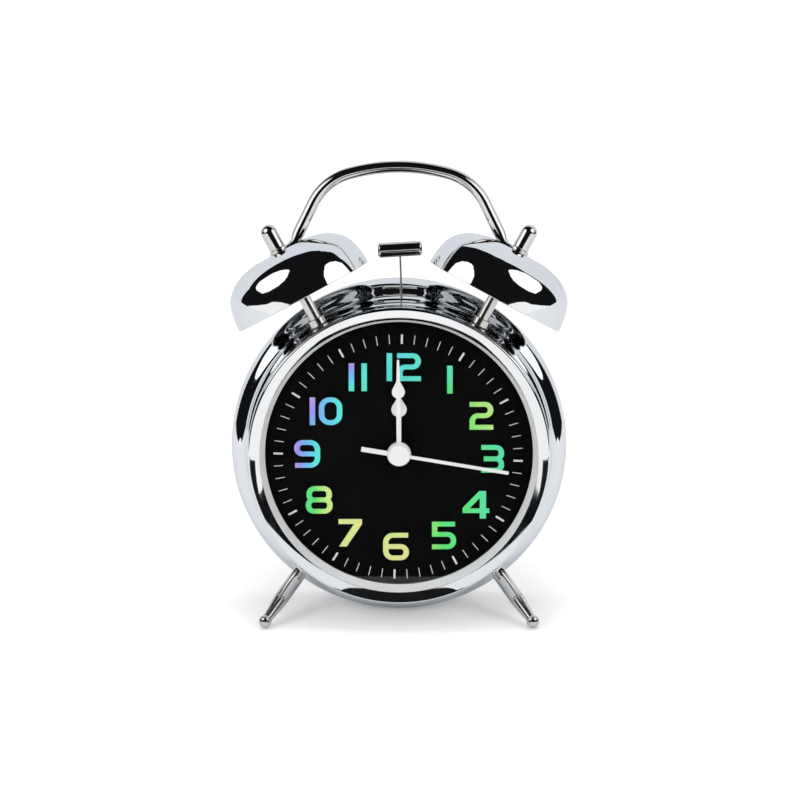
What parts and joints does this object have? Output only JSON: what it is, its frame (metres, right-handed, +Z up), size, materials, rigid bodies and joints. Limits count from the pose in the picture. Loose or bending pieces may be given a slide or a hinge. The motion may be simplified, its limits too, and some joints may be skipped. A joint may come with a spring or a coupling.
{
  "type": "analog alarm clock",
  "caption": "Round chrome twin-bell alarm clock leaning on two splayed feet and its rear edge, with a carrying handle, striking hammer, black dial, white hands and rear setting knobs.",
  "frame": {"origin": "middle of the clock's box, on the surface it stands on", "axes": "+Z up, +X to the right as the dial is seen, -Y the way the dial faces (the dial leans back 10.4 degrees)"},
  "size_m": [0.1194, 0.057, 0.1611],
  "materials": {
    "chrome": "polished chrome plate",
    "lens_glass": "clear polished",
    "dial_black": "satin black print",
    "black_plastic": "fine moulded grain",
    "movement_plastic": "smooth moulded",
    "white_hands": "matt white enamel",
    "wheel_plastic": "smooth natural nylon",
    "steel": "bright drawn wire",
    "brass": "turned",
    "copper_coil": "varnished winding",
    "board": "solder resist",
    "cell": "printed sleeve",
    "magnet": "sintered"
  },
  "bodies": {
    "case_body": {"bezel": "chrome", "lens": "lens_glass", "reflector_ring": "chrome", "spacer_ring": "black_plastic", "dial": "dial_black", "case_shell": "chrome", "bell_left": "chrome", "bell_right": "chrome", "post_left": "chrome", "post_right": "chrome", "post_collars": "chrome", "bell_washers": "steel", "post_nuts": "steel", "cap_nuts": "chrome", "handle": "chrome", "foot_left": "chrome", "foot_right": "chrome", "foot_nuts": "steel", "movement_front_plate": "movement_plastic", "movement_middle_plate": "movement_plastic", "movement_housing": "movement_plastic", "movement_screws": "steel", "stator": "steel", "stepper_coil": "copper_coil", "circuit_board": "board", "striker_bracket": "movement_plastic", "hammer_pivot_pin": "steel", "alarm_motor": "steel", "back_cover": "black_plastic", "back_cover_screws": "steel", "battery_cell": "cell", "battery_contact": "steel", "battery_spring": "steel"},
    "second_hand_body": {"second_hand": "white_hands", "second_wheel": "wheel_plastic"},
    "intermediate_wheel_body": {"intermediate_wheel": "wheel_plastic"},
    "rotor_body": {"rotor": "magnet"},
    "third_wheel_body": {"third_wheel": "wheel_plastic"},
    "centre_wheel_body": {"centre_wheel": "wheel_plastic"},
    "minute_hand_body": {"minute_hand": "white_hands", "cannon_pinion": "wheel_plastic"},
    "minute_wheel_body": {"minute_wheel": "wheel_plastic"},
    "hour_hand_body": {"hour_hand": "white_hands", "hour_wheel": "wheel_plastic"},
    "time_knob_body": {"time_knob": "black_plastic"},
    "alarm_hand_body": {"alarm_hand": "white_hands", "alarm_wheel": "wheel_plastic"},
    "alarm_knob_body": {"alarm_knob": "black_plastic"},
    "hammer_body": {"hammer_head": "chrome", "hammer_wire": "steel", "hammer_lever": "wheel_plastic"},
    "crank_gear_body": {"crank_gear": "wheel_plastic"},
    "motor_pinion_body": {"motor_pinion": "brass"},
    "alarm_switch_body": {"alarm_switch": "black_plastic"},
    "battery_door_body": {"battery_door": "black_plastic"}
  },
  "joints": [
    {"name": "second_hand_turn", "type": "hinge", "parent": "case_body", "child": "second_hand_body", "pos_m": [0, -0.00984, 0.06177], "axis": [0, 0.9835, -0.1806], "continuous": true},
    {"name": "intermediate_wheel_turn", "type": "hinge", "parent": "case_body", "child": "intermediate_wheel_body", "pos_m": [0, -0.00848, 0.0692], "axis": [0, 0.9835, -0.1806], "continuous": true},
    {"name": "rotor_turn", "type": "hinge", "parent": "case_body", "child": "rotor_body", "pos_m": [-0.0052, -0.00794, 0.07215], "axis": [0, 0.9835, -0.1806], "continuous": true},
    {"name": "third_wheel_turn", "type": "hinge", "parent": "case_body", "child": "third_wheel_body", "pos_m": [0.00374, -0.01102, 0.05539], "axis": [0, 0.9835, -0.1806], "continuous": true},
    {"name": "centre_wheel_turn", "type": "hinge", "parent": "case_body", "child": "centre_wheel_body", "pos_m": [0, -0.00984, 0.06177], "axis": [0, 0.9835, -0.1806], "continuous": true},
    {"name": "minute_hand_turn", "type": "hinge", "parent": "case_body", "child": "minute_hand_body", "pos_m": [0, -0.00984, 0.06177], "axis": [0, 0.9835, -0.1806], "continuous": true},
    {"name": "minute_wheel_turn", "type": "hinge", "parent": "case_body", "child": "minute_wheel_body", "pos_m": [-0.00744, -0.01033, 0.0591], "axis": [0, 0.9835, -0.1806], "continuous": true},
    {"name": "hour_hand_turn", "type": "hinge", "parent": "case_body", "child": "hour_hand_body", "pos_m": [0, -0.00984, 0.06177], "axis": [0, 0.9835, -0.1806], "continuous": true},
    {"name": "time_knob_turn", "type": "hinge", "parent": "case_body", "child": "time_knob_body", "pos_m": [-0.01489, -0.01082, 0.05644], "axis": [0, 0.9835, -0.1806], "continuous": true},
    {"name": "alarm_hand_turn", "type": "hinge", "parent": "case_body", "child": "alarm_hand_body", "pos_m": [0, -0.00984, 0.06177], "axis": [0, 0.9835, -0.1806], "continuous": true},
    {"name": "alarm_knob_turn", "type": "hinge", "parent": "case_body", "child": "alarm_knob_body", "pos_m": [0.01184, -0.01062, 0.05753], "axis": [0, 0.9835, -0.1806], "continuous": true},
    {"name": "hammer_swing", "type": "hinge", "parent": "case_body", "child": "hammer_body", "pos_m": [0.0009, -0.00157, 0.10681], "axis": [0, 0.9835, -0.1806], "range_deg": [-7.97, 7.97]},
    {"name": "crank_gear_turn", "type": "hinge", "parent": "case_body", "child": "crank_gear_body", "pos_m": [0.0009, -0.00338, 0.09698], "axis": [0, 0.9835, -0.1806], "range_deg": [-92, 92]},
    {"name": "motor_pinion_turn", "type": "hinge", "parent": "case_body", "child": "motor_pinion_body", "pos_m": [0.0084, -0.00338, 0.09698], "axis": [0, 0.9835, -0.1806], "range_deg": [-368, 368]},
    {"name": "alarm_switch_slide", "type": "slide", "parent": "case_body", "child": "alarm_switch_body", "axis": [0, 0.1806, 0.9835], "range_m": [0, 0.004]},
    {"name": "battery_door_lift", "type": "slide", "parent": "case_body", "child": "battery_door_body", "axis": [0, 0.9835, -0.1806], "range_m": [0, 0.02]}
  ],
  "couplings": [
    {"joint": "intermediate_wheel_turn", "follows": "second_hand_turn", "ratio": -6},
    {"joint": "rotor_turn", "follows": "second_hand_turn", "ratio": 30},
    {"joint": "third_wheel_turn", "follows": "second_hand_turn", "ratio": -0.13333},
    {"joint": "centre_wheel_turn", "follows": "second_hand_turn", "ratio": 0.016667},
    {"joint": "minute_wheel_turn", "follows": "minute_hand_turn", "ratio": -0.33333},
    {"joint": "hour_hand_turn", "follows": "minute_hand_turn", "ratio": 0.083333},
    {"joint": "time_knob_turn", "follows": "minute_hand_turn", "ratio": 1},
    {"joint": "alarm_knob_turn", "follows": "alarm_hand_turn", "ratio": -4},
    {"joint": "crank_gear_turn", "follows": "hammer_swing", "ratio": -11.292},
    {"joint": "motor_pinion_turn", "follows": "hammer_swing", "ratio": 45.169}
  ]
}
